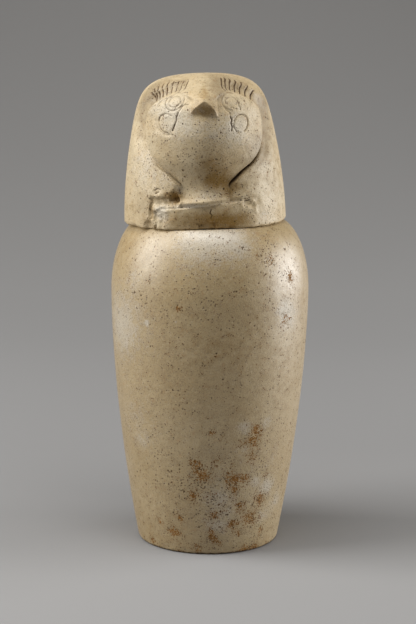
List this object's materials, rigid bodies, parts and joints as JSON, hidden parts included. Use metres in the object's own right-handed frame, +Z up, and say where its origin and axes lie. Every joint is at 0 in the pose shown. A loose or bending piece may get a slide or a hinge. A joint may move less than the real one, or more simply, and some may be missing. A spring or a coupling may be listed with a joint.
{
  "type": "canopic jar",
  "caption": "Hollow limestone jar with sloping shoulders and a lift-off lid carved as a hooded falcon's head.",
  "frame": {"origin": "centre of the jar's underside, on the surface it stands on", "axes": "+Z up the jar's axis, the falcon's face looks along -Y, +X to the falcon's left"},
  "size_m": [0.1384, 0.1384, 0.3289],
  "materials": {
    "jar_limestone": "smoothed limestone, worn satin, pitted and iron-stained low on the front",
    "lid_limestone": "smoothed limestone with tool marks, chipped along the lower edge"
  },
  "bodies": {
    "root": {"jar": "jar_limestone", "falcon_lid": "lid_limestone"}
  },
  "joints": []
}
